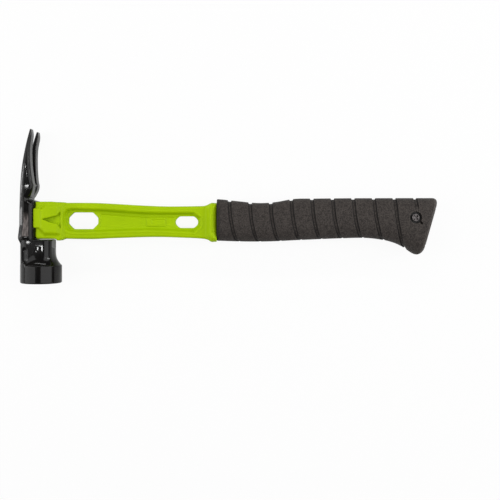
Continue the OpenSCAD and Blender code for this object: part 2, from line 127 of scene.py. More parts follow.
def sculpt(name, shape, low, high, cell):
    """The closed surface where shape(x, y, z) is nought, as an object with its true normals."""
    low, high = np.array(low) - 2 * cell, np.array(high) + 2 * cell
    counts = np.ceil((high - low) / cell).astype(int) + 1
    x, y, z = (low[i] + cell * np.arange(counts[i]) for i in range(3))
    field = np.broadcast_to(shape(x[:, None, None], y[None, :, None], z[None, None, :]), counts)
    grid = openvdb.FloatGrid(4 * cell)
    grid.copyFromArray(np.ascontiguousarray(field, np.float32))
    points, quads = grid.convertToQuads(0.0)
    points = low + cell * points.astype(float)
    # Newton steps carry each point from the grid's surface to the true one
    newton_steps = 3
    nudge = 0.02
    least_steepness = 0.05
    longest_move = 0.6 * cell
    for _ in range(newton_steps):
        level = shape(*points.T)
        slope = np.stack(
            [
                (shape(*(points + step).T) - shape(*(points - step).T)) / (2 * nudge)
                for step in np.eye(3) * nudge
            ],
            axis=1,
        )
        steep = np.maximum((slope**2).sum(axis=1), least_steepness)
        move = slope * (level / steep)[:, None]
        reach = np.maximum(np.linalg.norm(move, axis=1), 1e-9)
        points -= move * np.minimum(1, longest_move / reach)[:, None]
    mesh = bpy.data.meshes.new(name)
    mesh.from_pydata((np.array(seat) + points / 1000).tolist(), [], quads.tolist())
    mesh.validate()
    mesh.polygons.foreach_set("use_smooth", np.ones(len(mesh.polygons), bool))
    normals = slope / np.maximum(np.linalg.norm(slope, axis=1), 1e-9)[:, None]
    mesh.normals_split_custom_set_from_vertices(normals.tolist())
    piece = bpy.data.objects.new(name, mesh)
    bpy.context.scene.collection.objects.link(piece)
    return piece


class Value:
    """A shader socket that takes part in sums: each operator adds its Math node."""

    def __init__(self, tree, socket=None):
        self.tree = tree
        self.socket = socket

    def node(self, kind, settings, inputs, output=0):
        """A new node: its settings are made first, then its sockets are set or linked."""
        made = self.tree.nodes.new(kind)
        for name, setting in settings.items():
            setattr(made, name, setting)
        for name, value in inputs.items():
            if isinstance(value, Value):
                self.tree.links.new(value.socket, made.inputs[name])
            else:
                made.inputs[name].default_value = value
        return Value(self.tree, made.outputs[output]) if made.outputs else None

    def math(self, operation, a, b):
        """The result of one Math node."""
        return self.node("ShaderNodeMath", {"operation": operation}, {0: a, 1: b})

    def __add__(self, other):
        return self.math("ADD", self, other)

    def __radd__(self, other):
        return self.math("ADD", other, self)

    def __rsub__(self, other):
        return self.math("SUBTRACT", other, self)

    def __mul__(self, other):
        return self.math("MULTIPLY", self, other)

    def __rmul__(self, other):
        return self.math("MULTIPLY", other, self)

    def above(self, start, end):
        """0 up to start and 1 from end, smoothly between."""
        return self.node(
            "ShaderNodeMapRange",
            {"interpolation_type": "SMOOTHSTEP", "clamp": True},
            {"Value": self, "From Min": start, "From Max": end},
        )

    def mix(self, low, high):
        """A colour from low to high as this value goes from 0 to 1."""
        return self.node("ShaderNodeMix", {"data_type": "RGBA"}, {0: self, 6: low, 7: high}, 2)


def colour(red, green, blue):
    """A colour from its 0 to 255 display values."""
    linear = [
        v / 255 / 12.92 if v <= 10 else ((v / 255 + 0.055) / 1.055) ** 2.4
        for v in (red, green, blue)
    ]
    return (*linear, 1.0)


def new_material(name):
    """An empty material, and the Value that its nodes are made from."""
    material = bpy.data.materials.new(name)
    material.use_nodes = True
    material.node_tree.nodes.clear()
    return material, Value(material.node_tree)


def on_piece(start):
    """Where a point lies on its piece, in metres."""
    return start.node("ShaderNodeTexCoord", {}, {}, "Object")


def noise(start, place, scale, detail=3.0, rough=0.55):
    """Noise from 0 to 1 whose lumps are about 1 / scale metres across."""
    return start.node(
        "ShaderNodeTexNoise", {}, {"Vector": place, "Scale": scale, "Detail": detail, "Roughness": rough}
    )


def edges(start, low, high):
    """0 where the surface is flat or hollow, up to 1 on outer edges."""
    return start.node("ShaderNodeNewGeometry", {}, {}, "Pointiness").above(low, high)


def principled(start, inputs, height, depth):
    """A Principled surface whose bump is depth metres high where height is 1."""
    bump = {"Height": height, "Distance": depth, "Strength": 1.0}
    normal = start.node("ShaderNodeBump", {}, bump, "Normal")
    surface = start.node("ShaderNodeBsdfPrincipled", {}, {**inputs, "Normal": normal})
    start.node("ShaderNodeOutputMaterial", {}, {"Surface": surface})


def settle(piece, material, slot, *nodes):
    """Gives a piece its material and its body, and hides the CAD nodes that it stands for; slot is not used.
    """
    piece.data.materials.append(material)
    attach(piece, "root")
    if nodes:
        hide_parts(*nodes)


head_low, head_high = (from_seat(p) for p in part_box("head"))
claw_tip_y = head_high[1]
face_y = head_low[1]
face_r = (head_high[2] - head_low[2]) / 2
face_axis_x = 3.2
rim_l = 15.6
rim_y = face_y + rim_l
spine_t = 13.2
nail_stop_x = head_low[0]
claw_half_w = 17.0
cheek_half_w = 12.5
block_top_y = 14.75
block_bottom_y = -16.95
neck_top_y = block_bottom_y - 0.6
neck_front_x = -12.6
neck_back_x = 14.2
heel_y = block_top_y + 14
flare_h = 14.0
slot_root_y = heel_y - 1
slot_half_w = 7.0
inner_face_x = -1.4
width_line = [
    (neck_top_y, cheek_half_w), (block_top_y, cheek_half_w), (heel_y, 13.6), (heel_y + 18, 15.5),
    (claw_tip_y, claw_half_w),
]
outer_bevel_line = [(neck_top_y, 2.6), (20, 2.4), (60, 1.5), (claw_tip_y, 0.5)]
inner_bevel_line = [(neck_top_y, 3.4), (block_top_y, 3.4), (24, 1.4), (60, 1.0), (claw_tip_y, 0.5)]
heel_groove_r = 3.2
heel_groove_half_l = 9
neck_half_w = 13.5
neck_corner_r = 6.5
flare_w = 5.4
flare_power = 2.2
dimple_r = 4.6
dimple_z = 16.4
nail_groove_r = 2.6
magnet_hole_r = 3.05
magnet_hole_depth = 5.7
counterbore_r = 6.8
counterbore_depth = 6.6
bolt_hole_r = 4.15
boss_mid_y = 0.8
pocket_half_h = 8.45
pocket_half_w = 10.4
pocket_depth = 1.9
sweep_x = 10.7
sweep_start_y = -5
sweep_power = 2.545


def claw_outer_x(y):
    """The back of the spine, which sweeps forward to the tips of the claw."""
    share = np.maximum(0, y - sweep_start_y) / (claw_tip_y - sweep_start_y)
    return -spine_t + sweep_x * share**sweep_power


claw_inner_line = smooth_line(
    [
        (0, block_top_y + 0.5),
        (-4.6, block_top_y + 2.2),
        (-3.4, block_top_y + 5),
        (-1.3, heel_y - 4.2),
        (-0.7, heel_y),
        (-1.6, heel_y + 4.5),
        (-2.7, heel_y + 16.8),
        (-2.7, heel_y + 30.8),
        (-1.2, claw_tip_y - 5.5),
        (-1.6, claw_tip_y),
    ],
    4,
)
claw_outer_line = [(claw_outer_x(y), y) for y in np.linspace(claw_tip_y, sweep_start_y, 22)]
spine_outline = claw_inner_line + claw_outer_line + [
    (nail_stop_x, neck_top_y + 3),
    (nail_stop_x, neck_top_y + 0.6),
    (-spine_t + 0.6, neck_top_y - 3),
    (0, neck_top_y - 3),
]
slot_side = [
    (slot_half_w * share, slot_root_y + (claw_tip_y - slot_root_y) * share**2)
    for share in np.linspace(0, 1, 17)
]
slot_outline = (
    slot_side
    + [(slot_half_w + 0.2, claw_tip_y + 3), (-slot_half_w - 0.2, claw_tip_y + 3)]
    + [(-half_w, y) for half_w, y in reversed(slot_side[1:])]
)


def rise(value):
    """A smooth step from 0 to 1."""
    value = np.clip(value, 0, 1)
    return value * value * (3 - 2 * value)


def head_shape(x, y, z):
    """How far a point lies outside the head's surface."""
    # Spine and claw, with a bevel that is finer on the claw, and the slot and groove between the tines
    side = outline_distance(spine_outline, x, y)
    flank = np.abs(z) - np.interp(y, *zip(*width_line))
    outer_bevel = np.interp(y, *zip(*outer_bevel_line))
    inner_bevel = np.interp(y, *zip(*inner_bevel_line))
    outer_x = claw_outer_x(y)
    bevel = outer_bevel + (inner_bevel - outer_bevel) * rise((x - outer_x) / (inner_face_x - outer_x))
    body = common(common(side, flank, 0.5), (side + flank + bevel) * diagonal, 1.3)
    body = cut(body, outline_distance(slot_outline, z, y), 0.9)
    heel_groove = common(
        np.hypot(x - 0.6, z) - heel_groove_r, np.abs(y - heel_y + 1) - heel_groove_half_l, 2.0
    )
    body = cut(body, heel_groove, 0.9)
    # Neck
    past_x = np.abs(x - (neck_front_x + neck_back_x) / 2) - (neck_back_x - neck_front_x) / 2 + neck_corner_r
    past_z = np.abs(z) - neck_half_w + neck_corner_r
    section = np.hypot(np.maximum(past_x, 0), np.maximum(past_z, 0))
    section = section + np.minimum(np.maximum(past_x, past_z), 0) - neck_corner_r
    neck_l = neck_top_y - rim_y + 1.5
    neck = common(section, np.abs(y - neck_top_y + neck_l / 2) - neck_l / 2, 0.9)
    body = join(body, neck, 0.5)
    # Flare and rim, both turned about the face's axis
    from_axis = np.hypot(x - face_axis_x, z)
    flare_share = np.clip((rim_y + flare_h - y) / flare_h, 0, 1)
    flare_r = face_r - 0.8 - flare_w * (1 - flare_share**flare_power)
    flare = np.maximum((from_axis - flare_r) * 0.9, np.abs(y - rim_y - flare_h / 2 + 1) - flare_h / 2 - 0.5)
    body = join(body, flare, 2.4)
    rim = common(from_axis - face_r, np.abs(y - face_y - rim_l / 2) - rim_l / 2, 1.1)
    body = np.where(y < rim_y + 1.5, np.maximum(body, from_axis - face_r), body)
    body = join(body, rim, 0.3)
    # Cheek dimples and the groove that holds a nail to be started
    dimple_y = np.clip(y, rim_y + 5.0, neck_top_y - 9.5)
    dimple = np.sqrt((x - neck_front_x - 3.9) ** 2 + (y - dimple_y) ** 2 + (np.abs(z) - dimple_z) ** 2)
    body = cut(body, dimple - dimple_r, 0.4)
    nail_groove = common(np.hypot(x - neck_front_x + 0.9, z) - nail_groove_r, y - neck_top_y + 3, 1.0)
    body = cut(body, nail_groove, 0.4)
    # Bolt hole, the pocket for the handle's boss and the magnet's hole
    from_bolt = np.hypot(y, z)
    counterbore = common(from_bolt - counterbore_r, x + counterbore_depth, 0.1)
    body = cut(body, np.minimum(counterbore, from_bolt - bolt_hole_r), 0.3)
    pocket = np.maximum(
        np.maximum(np.abs(y - boss_mid_y) - pocket_half_h, np.abs(z) - pocket_half_w), -x - pocket_depth
    )
    magnet_hole = np.maximum(
        np.hypot(y - neck_top_y + 10, z) - magnet_hole_r, x - neck_front_x - magnet_hole_depth
    )
    return np.maximum(body, -np.minimum(pocket, magnet_hole))


head = sculpt("forged_head", head_shape, head_low, head_high, 0.42)

black_gloss, start = new_material("black_gloss_steel")
place = on_piece(start)
edge = edges(start, 0.515, 0.60)
patches = noise(start, place, 90.0, 4.0)
along_claw = start.node("ShaderNodeMapping", {}, {"Vector": place, "Scale": (9.0, 1.0, 9.0)})
scuffs = noise(start, along_claw, 160.0, 5.0, 0.7)
worn = edge * patches.above(0.35, 0.6)
black = patches.above(0.3, 0.7).mix(colour(8, 7, 7), colour(15, 13, 12))
worn_black = (worn * 0.7).mix(black, colour(74, 70, 66))
# Partly ground steel, partly painted reflection: a pale streaked band is painted on the cheek flats that lie
# square to the view, and it fades out towards the claw as a reflection would.
along = start.node("ShaderNodeSeparateXYZ", {}, {"Vector": place}, "Y")
ground_sheen_low = seat.y - 0.0150
ground_sheen_high = seat.y + 0.0070
ground = along.above(ground_sheen_low, ground_sheen_low + 0.001) * (1 - along.above(ground_sheen_high - 0.010, ground_sheen_high))
facing = start.node("ShaderNodeNewGeometry", {}, {}, "Normal")
flat = start.node("ShaderNodeSeparateXYZ", {}, {"Vector": facing}, "Z")
flat = (flat * flat).above(0.97, 0.995) * ground
principled(
    start,
    {
        "Base Color": (flat * scuffs.above(0.3, 0.7)).mix(worn_black, colour(146, 137, 134)),
        "Roughness": 0.14 + 0.10 * scuffs.above(0.35, 0.8) + 0.06 * patches + 0.2 * flat,
        "Coat Weight": 0.35,
        "Coat Roughness": 0.03,
        "Specular IOR Level": 0.1,
    },
    patches + 0.15 * noise(start, place, 500.0, 2.0) + 0.25 * flat * scuffs,
    0.00003,
)
settle(head, black_gloss, "head_steel", "head")

# ---------------------------------------------------------------------------------------
# Head bolt: a low-head socket screw of turned and rolled steel, blackened in an oxide bath.
# It runs along the handle's axis and draws the head against the handle's block.
# ---------------------------------------------------------------------------------------

bolt_low, bolt_high = (from_seat(p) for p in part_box("head_bolt"))
bolt_head_h = 5.0
bolt_seat_x = bolt_low[0] + bolt_head_h
bolt_head_r = 6.5
bolt_shank_r = 4.0
knurl_depth = 0.12
knurl_count = 36
hex_half_w = 2.5
hex_depth = 3.0


def head_bolt_shape(x, y, z):
    """How far a point lies outside the bolt: a knurled head, a hexagon socket and a plain shank."""
    radius = np.hypot(y, z)
    angle = np.arctan2(z, y)
    knurl = knurl_depth * np.cos(angle * knurl_count) * (np.abs(x - bolt_low[0] - 2.6) < 1.7)
    ends = np.abs(x - bolt_low[0] - bolt_head_h / 2) - bolt_head_h / 2
    head_part = common(radius - bolt_head_r + knurl_depth - knurl, ends, 0.5)
    ends = np.abs(x - (bolt_seat_x + bolt_high[0]) / 2) - (bolt_high[0] - bolt_seat_x) / 2
    shank = common(radius - bolt_shank_r, ends, 0.6)
    sector = np.pi / 3
    hexagon = radius * np.cos((angle + sector / 2) % sector - sector / 2) - hex_half_w
    socket = common(hexagon, x - bolt_low[0] - hex_depth, 0.1)
    return cut(np.minimum(head_part, shank), socket, 0.25)


bolt = sculpt("head_bolt_black", head_bolt_shape, bolt_low, bolt_high, 0.26)

black_oxide, start = new_material("black_oxide_steel")
place = on_piece(start)
edge = edges(start, 0.51, 0.58)
cloud = noise(start, place, 500.0, 4.0)
principled(
    start,
    {
        "Base Color": (edge * cloud).mix(colour(96, 92, 92), colour(150, 146, 142)),
        "Roughness": 0.34 + 0.2 * cloud,
        "Metallic": 0.85,
    },
    noise(start, place, 2600.0, 2.0),
    0.00002,
)
settle(bolt, black_oxide, "bolt_steel", "head_bolt")

# ---------------------------------------------------------------------------------------
# Plated hardware: the spring washer under the bolt's head and the threaded bush in the
# handle's block, both zinc plated, and the nail magnet, a nickel-plated disc that is glued
# into the floor of the nail groove. All three keep the shape that they have in the frame.
# ---------------------------------------------------------------------------------------

plated, start = new_material("plated_steel")
place = on_piece(start)
cloud = noise(start, place, 400.0, 4.0)
principled(
    start,
    {
        "Base Color": cloud.mix(colour(176, 176, 180), colour(205, 205, 208)),
        "Roughness": 0.25 + 0.2 * cloud,
        "Metallic": 1.0,
    },
    noise(start, place, 3000.0, 2.0),
    0.00001,
)


def refinish(name, material):
    """Gives a CAD node that keeps its shape a new material."""
    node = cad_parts[name]
    node.data.materials.clear()
    node.data.materials.append(material)


for name in ("nail_magnet", "bolt_washer", "thread_insert"):
    refinish(name, plated)

# ---------------------------------------------------------------------------------------
# Handle: one investment casting with a block that seats on the head, a recessed beam with
# two windows, a collar, and a tang inside the grip. It is blasted and powder coated.
# The block's pads carry the side nail puller, and its boss keys into the head.
# ---------------------------------------------------------------------------------------

handle_low, handle_high = (from_seat(p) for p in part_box("handle"))
grip_low, grip_high = (from_seat(p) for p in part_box("grip_overlay"))
grip_x = grip_low[0]
collar_x = grip_x - 0.2
block_l = 21.0
beam_l = collar_x - block_l
block_half_t = 8.0
pad_half_t = block_half_t + 2.4
beam_half_t = 6.3
web_half_t = 3.3
collar_half_t = (handle_high[2] - handle_low[2]) / 2
collar_top_y, collar_bottom_y = 13.6, -19.4
panel_half_l = 32
panel_margin = 4.2
panel_depth = 0.5
plaque_half_l, plaque_half_h = 8.8, 3.9
plaque_h = 0.7
well_half_l, well_half_h = 5.9, 2.4
tab_half_l, tab_half_h = 2.4, 6.45
tab_h = 0.3
puller_floor_z = 7.2
tang_half_h = 9
tang_half_t = 3.5
boss_half_h = 8.3
boss_half_t = 9.8
insert_hole_r = 5.85
insert_hole_depth = 14.5
screw_hole_r = 3.15
screw_low, screw_high = (from_seat(p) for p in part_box("grip_screw"))
screw_x = (screw_low[0] + screw_high[0]) / 2
screw_y = (screw_low[1] + screw_high[1]) / 2


def along_beam(points):
    """Points given by their share of the beam's length, as points of the side view."""
    return [(block_l + share * beam_l, y) for share, y in points]


beam_top = [
    (0, 13.8), (0.2, 13.7), (0.34, 12.9), (0.52, 11.5), (0.68, 10.7), (0.86, 10.9), (0.925, 11.3),
    (0.965, collar_top_y), (0.985, collar_top_y),
]
beam_bottom = [
    (0, -16.7), (0.2, -17.1), (0.34, -16.3), (0.6, -15.3), (0.8, -16), (0.925, -17),
    (0.965, collar_bottom_y), (0.985, collar_bottom_y),
]
beam_outline = (
    [(block_l - 8, block_top_y - 2)]
    + smooth_line(along_beam(beam_top), 4)
    + [(grip_x + 1, collar_top_y), (grip_x + 1, collar_bottom_y)]
    + smooth_line(along_beam(beam_bottom), 4)[::-1]
    + [(block_l - 8, block_bottom_y + 2)]
)
block_outline = [
    (0, block_bottom_y + 1.6),
    (1.6, block_bottom_y),
    (neck_back_x + 3.2, block_bottom_y),
    (neck_back_x + 3.8, block_bottom_y - 1.3),
    (block_l, block_bottom_y - 1.3),
    (block_l + 2.4, -16.7),
    (block_l + 2.4, 13.8),
    (block_l - 7, block_top_y),
    (0.8, block_top_y),
    (0, block_top_y - 0.8),
]
pad_top_y = block_top_y - 2.8
pad_bottom_y = block_bottom_y + 3.4
pad_outline = [
    (3, pad_bottom_y + 5),
    (8, pad_bottom_y),
    (block_l - 1.2, pad_bottom_y),
    (block_l, pad_bottom_y + 1.2),
    (block_l, pad_top_y - 1.2),
    (block_l - 1.2, pad_top_y),
    (8, pad_top_y),
    (3, pad_top_y - 5),
]
puller_tip = (block_l - 14.4, -0.2)
puller_outline = (
    smooth_line([puller_tip, (block_l - 7, 1.7), (block_l - 2.4, 2.9), (block_l, 5.8)], 3)
    + [(block_l + 3, 12), (block_l + 3, -13)]
    + smooth_line([(block_l, -7.6), (block_l - 2.4, -4.2), (block_l - 7, -3.1), puller_tip], 3)
)
recess_outline = (
    smooth_line([(block_l + 4.6, -10.2), (block_l + 2, -5), (block_l + 2, 3.2), (block_l + 4.6, 8.2)], 3)
    + smooth_line(along_beam([(0.075, 9.4), (0.3, 8.3), (0.55, 6), (0.855, 5.8)]), 3)
    + along_beam([(0.9, 1.2), (0.9, -6.6)])
    + smooth_line(along_beam([(0.075, -11.7), (0.25, -11.4), (0.56, -9.9), (0.86, -11.6)]), 3)[::-1]
)


def cut_corner_outline(mid_x, mid_y, length, height, corner):
    """A rectangle with its corners cut off."""
    a, b = length / 2, height / 2
    return [
        (mid_x + x, mid_y + y)
        for x, y in (
            (-a + corner, -b), (a - corner, -b), (a, -b + corner), (a, b - corner),
            (a - corner, b), (-a + corner, b), (-a, b - corner), (-a, -b + corner),
        )
    ]


front_round = 2.6
rear_round = 3.7
front_window_l, front_window_h = 25.6, 14.2
rear_window_l, rear_window_h = 19.2, 9.9
front_window = cut_corner_outline(
    block_l + 18.7, -1.5, front_window_l - 2 * front_round, front_window_h - 2 * front_round, 3.0
)
rear_window = cut_corner_outline(
    collar_x - 25.4, -2.7, rear_window_l - 2 * rear_round, rear_window_h - 2 * rear_round, 1.1
)
plaque_mid_x = collar_x - 51.5
panel_mid_x = collar_x - 67.5


def handle_shape(x, y, z):
    """How far a point lies outside the handle's surface."""
    depth = np.abs(z)
    # Beam: its face falls to the web in the recess, which holds a panel and a plaque with a well
    draft_w = 2.6
    recess = outline_distance(recess_outline, x, y)
    fall = rise(-recess / draft_w)
    lip = 0.35 * rise(1 - np.abs(recess - 0.9) / 1.3)
    panel = np.maximum(recess + panel_margin, np.abs(x - panel_mid_x) - panel_half_l)
    plaque = np.maximum(np.abs(x - plaque_mid_x) - plaque_half_l, np.abs(y + 2.5) - plaque_half_h)
    well = np.maximum(np.abs(x - plaque_mid_x - 1.9) - well_half_l, np.abs(y + 2.3) - well_half_h)
    near_collar = rise((x - collar_x + 10) / 5.6)
    face = beam_half_t - (beam_half_t - web_half_t) * fall + lip
    face = face + (collar_half_t - beam_half_t) * near_collar
    face = face - panel_depth * rise(-panel / 0.8) + plaque_h * rise(-plaque / 0.8) - 0.5 * rise(-well / 0.7)
    tab = np.maximum(np.abs(y + 4.1) - tab_half_h, np.abs(x - collar_x + 2) - tab_half_l)
    face = face - tab_h + tab_h * rise(-tab / 0.5)
    body = common(outline_distance(beam_outline, x, y), depth - face, 2.0 + 4.5 * near_collar)
    # Block, with a raised pad on each side and the nail puller sunk into the pad
    block = common(outline_distance(block_outline, x, y), depth - block_half_t, 1.6)
    pad_edge = outline_distance(pad_outline, x, y)
    pad = common(pad_edge + 0.7 * np.maximum(depth - block_half_t, -0.6), depth - pad_half_t, 1.5)
    block = join(block, pad, 1.4)
    puller = common(outline_distance(puller_outline, x, y), puller_floor_z - depth, 0.8)
    block = cut(block, np.maximum(puller, x - block_l - 0.2), 0.9)
    body = join(body, block, 1.6)
    body = common(body, x - grip_x + 0.02, 0.4)
    windows = np.minimum(
        outline_distance(front_window, x, y) - front_round, outline_distance(rear_window, x, y) - rear_round
    )
    body = cut(body, windows, 0.7)
    # Tang inside the grip, boss in the head's pocket, and the holes for the screw, bush and bolt
    tang = common(np.abs(y + 0.4) - tang_half_h, depth - tang_half_t, 0.4)
    tang_ends = np.abs(x - (collar_x + handle_high[0]) / 2 + 2) - (handle_high[0] - collar_x) / 2 - 2
    tang = np.maximum(tang, tang_ends)
    body = np.minimum(body, tang)
    boss = common(np.abs(y - boss_mid_y) - boss_half_h, np.abs(x - 2) - boss_h - 2, 1.3)
    body = join(body, common(boss, depth - boss_half_t, 0.9), 0.6)
    screw_hole = np.hypot(x - screw_x, y - screw_y) - screw_hole_r
    from_bolt = np.hypot(y, z)
    insert_hole = np.maximum(from_bolt - insert_hole_r, x - insert_hole_depth)
    bolt_hole = np.maximum(from_bolt - bolt_hole_r, x - bolt_high[0] - 1)
    return np.maximum(body, -np.minimum(screw_hole, np.minimum(insert_hole, bolt_hole)))


handle = sculpt("cast_handle", handle_shape, handle_low, handle_high, 0.62)


def hollows(start, reach, low, high):
    """0 where the surface is open, up to 1 in corners with much of the piece within reach."""
    settings = {"samples": 8, "only_local": True}
    return 1 - start.node("ShaderNodeAmbientOcclusion", settings, {"Distance": reach}, "AO").above(low, high)


coat, start = new_material("powder_coat")
place = on_piece(start)
cloud = noise(start, place, 45.0, 3.0)
fine = noise(start, place, 900.0, 3.0)
# Painted shade: the green is darkened in recesses and corners where the piece crowds in, as shadow would
# fall there.
hollow = hollows(start, 0.006, 0.35, 0.95)
# Painted highlight: outer edges are painted a paler green, as light catches them.
edge = edges(start, 0.51, 0.58)
green = cloud.above(0.3, 0.7).mix(colour(165, 199, 0), colour(172, 205, 0))
shaded = (hollow * 0.55).mix(green, colour(120, 152, 0))
principled(
    start,
    {
        "Base Color": (edge * 0.35).mix(shaded, colour(190, 220, 30)),
        "Roughness": 0.45 + 0.12 * fine,
        "Specular IOR Level": 0.1,
    },
    fine + 0.5 * cloud,
    0.00006,
)
settle(handle, coat, "handle_coat", "handle")

# ---------------------------------------------------------------------------------------
# Grip overlay: soft matt rubber moulded over the core, with a spiral groove for the hand.
# It swells to a slanted butt, and a round well in each side of the butt lets the screw and
# its barrel nut reach the core. Shade is painted dark on the groove's walls and along the front edge.
# ---------------------------------------------------------------------------------------

cap_low, cap_high = (from_seat(p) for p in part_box("grip_cap"))
butt_slope = np.tan(np.radians(15.9))
butt_lean = np.cos(np.radians(15.9))
cap_t = 4.4
cap_round = 3.0
top_line = [
    (0, 17), (0.09, 15.4), (0.19, 13.7), (0.27, 14.4), (0.36, 17.2), (0.46, 17.5), (0.62, 17.8),
    (1, 17.9),
]
bottom_line = [
    (0, -18.6), (0.12, -19.2), (0.25, -19.2), (0.4, -18), (0.62, -16.5), (0.74, -16.3), (0.84, -18.6),
    (0.91, -22.6), (1, -30.4),
]
swell_line = [(0, 0.12), (0.2, 0), (0.45, 0.25), (0.7, 0.1), (0.88, 0.65), (1, 1)]
waist_half_t = 13.5
butt_half_t = (cap_high[2] - cap_low[2]) / 2
corner_setback = 0.248 * cap_round
butt_dome = 0.010
butt_round = 4.2
side_power = 2.5
core_hole_half_h, core_hole_half_t, core_hole_corner = 11.5, 8.5, 5.0
core_end_x = from_seat(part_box("grip_core")[1])[0]


def value_at(line, share):
    """The smooth value of a line of (share, value) points."""
    shares, values = np.array(line).T
    i = np.clip(np.searchsorted(shares, share, side="right") - 1, 0, len(line) - 2)
    t = (share - shares[i]) / (shares[i + 1] - shares[i])
    a, b, c, d = (values[np.clip(i + k, 0, len(line) - 1)] for k in (-1, 0, 1, 2))
    return between(a, b, c, d, t)


def butt_x(y):
    """Where the slanted butt lies at a height."""
    return cap_high[0] + corner_setback + (y - top_line[-1][1]) * butt_slope


def grip_outline(x, y, z):
    """Distance from the grip's side, the angle round it from the top edge, and the share along it."""
    length = butt_x(top_line[-1][1]) - cap_t / butt_lean - grip_x
    share = np.clip((x - grip_x) / (length + butt_slope * (y - top_line[-1][1])), 0, 1)
    top, bottom = value_at(top_line, share), value_at(bottom_line, share)
    half_t = waist_half_t + (butt_half_t - waist_half_t) * value_at(swell_line, share)
    up = y - (top + bottom) / 2
    half_h = (top - bottom) / 2
    ratio = (np.abs(up / half_h) ** side_power + np.abs(z / half_t) ** side_power) ** (1 / side_power) + 1e-9
    side = np.hypot(up, z) * (1 - 1 / ratio)
    dome = (x - butt_x(y)) * butt_lean + butt_dome * z**2
    return common(side, dome, butt_round), np.arctan2(z / half_t, up / half_h), share


groove_pitch = 17.58
groove_lean_front = 3.2
groove_lean_rear = 5.0
groove_start_x = grip_x + 10.9
groove_half_w = 1.45
groove_depth = 1.15
groove_turns = 9.2
well_r = 5.0
notch_half_w = 0.9
notch_half_l = 2.0
notch_from_screw = 5.6
notch_depth = 4.2


def groove_place(x, angle, share):
    """How far a point lies from the middle of the spiral groove, and 1 where the groove runs."""
    lean = groove_lean_front + (groove_lean_rear - groove_lean_front) * share
    turn = (x - groove_start_x + lean * np.sin(angle)) / groove_pitch - angle / (2 * np.pi)
    along = np.round(turn) + angle / (2 * np.pi)
    across = np.abs(turn - np.round(turn)) * groove_pitch
    return across, rise(np.minimum(along + 0.5, groove_turns - along) * 12)


def overlay_shape(x, y, z):
    """How far a point lies outside the rubber."""
    side, angle, share = grip_outline(x, y, z)
    across, ends = groove_place(x, angle, share)
    side = side + groove_depth * rise((groove_half_w + 0.25 - across) / 0.5) * ends
    body = common(side, grip_x - x, 0.9)
    body = common(body, (x - butt_x(y)) * butt_lean + cap_t, 0.5)
    body = cut(body, np.hypot(x - screw_x, y - screw_y) - well_r, 0.4)
    notch_x = (x - screw_x - y + screw_y) * diagonal
    notch_y = (x - screw_x + y - screw_y) * diagonal
    notch = common(np.abs(notch_y) - notch_half_w, np.abs(notch_x - notch_from_screw) - notch_half_l, 0.5)
    body = cut(body, np.maximum(notch, butt_half_t - notch_depth - np.abs(z)), 0.4)
    core_hole = common(np.abs(y + 0.9) - core_hole_half_h, np.abs(z) - core_hole_half_t, core_hole_corner)
    return np.maximum(body, -np.maximum(core_hole, x - core_end_x - 0.2))


overlay = sculpt("rubber_overlay", overlay_shape, grip_low, grip_high, 0.5)
places = np.empty(len(overlay.data.vertices) * 3)
overlay.data.vertices.foreach_get("co", places)
px, py, pz = from_seat(places.reshape(-1, 3)).T
_, angle, share = grip_outline(px, py, pz)
across, ends = groove_place(px, angle, share)
# Painted shade: the groove's walls and the first few millimetres of the front edge go into a mask that
# darkens the rubber's colour, as shadow.
wall = rise(1 - np.abs(across - groove_half_w + 0.25) / 0.75) * ends
front_edge = 0.6 * rise(1 - (px - grip_x) / 4)
painted_shade = overlay.data.attributes.new("painted_shade", "FLOAT", "POINT")
painted_shade.data.foreach_set("value", np.maximum(wall, front_edge).astype(np.float32))


def rubber(name, dark, light, sheen):
    """Moulded rubber: a fine matt grain, faintly mottled, with paler edges, and shade painted in its
    hollows, on the groove walls and along the front edge.
    """
    material, start = new_material(name)
    place = on_piece(start)
    grain = noise(start, place, 1000.0, 4.0, 0.75)
    mottle = noise(start, place, 300.0, 5.0, 0.75)
    painted_shade = start.node("ShaderNodeAttribute", {"attribute_name": "painted_shade"}, {}, "Fac")
    edge = edges(start, 0.505, 0.57)
    # Painted shade: the rubber is darkened in its hollows, as shadow would fall there.
    hollow = hollows(start, 0.003, 0.3, 0.95)
    tone = (mottle * 0.25 + grain * 0.75).above(0.40, 0.60).mix(dark, light)
    shaded = (hollow * 0.4).mix(tone, colour(26, 23, 22))
    rubbed = (edge * 0.4).mix(shaded, colour(90, 84, 80))
    principled(
        start,
        {
            # Where that mask is set, shade is painted near black.
            "Base Color": (painted_shade * 0.95).mix(rubbed, colour(6, 5, 5)),
            "Roughness": sheen + 0.15 * grain,
            "Specular IOR Level": 0.35,
        },
        grain + 0.5 * mottle,
        0.00022,
    )
    return material


soft_rubber = rubber("moulded_rubber", colour(36, 31, 29), colour(72, 66, 62), 0.7)
settle(overlay, soft_rubber, "grip_rubber", "grip_overlay")

# ---------------------------------------------------------------------------------------
# Butt cap: a plate of harder rubber, moulded by itself, with grooves across it as a tread.
# A spigot on its inner side keys it to the rest of the grip.
# ---------------------------------------------------------------------------------------

tread_pitch = 5.2
tread_half_w = 0.6
tread_depth = 0.5
tread_half_l, tread_half_h = 12, 18
spigot_half_h, spigot_half_t = 6, 5


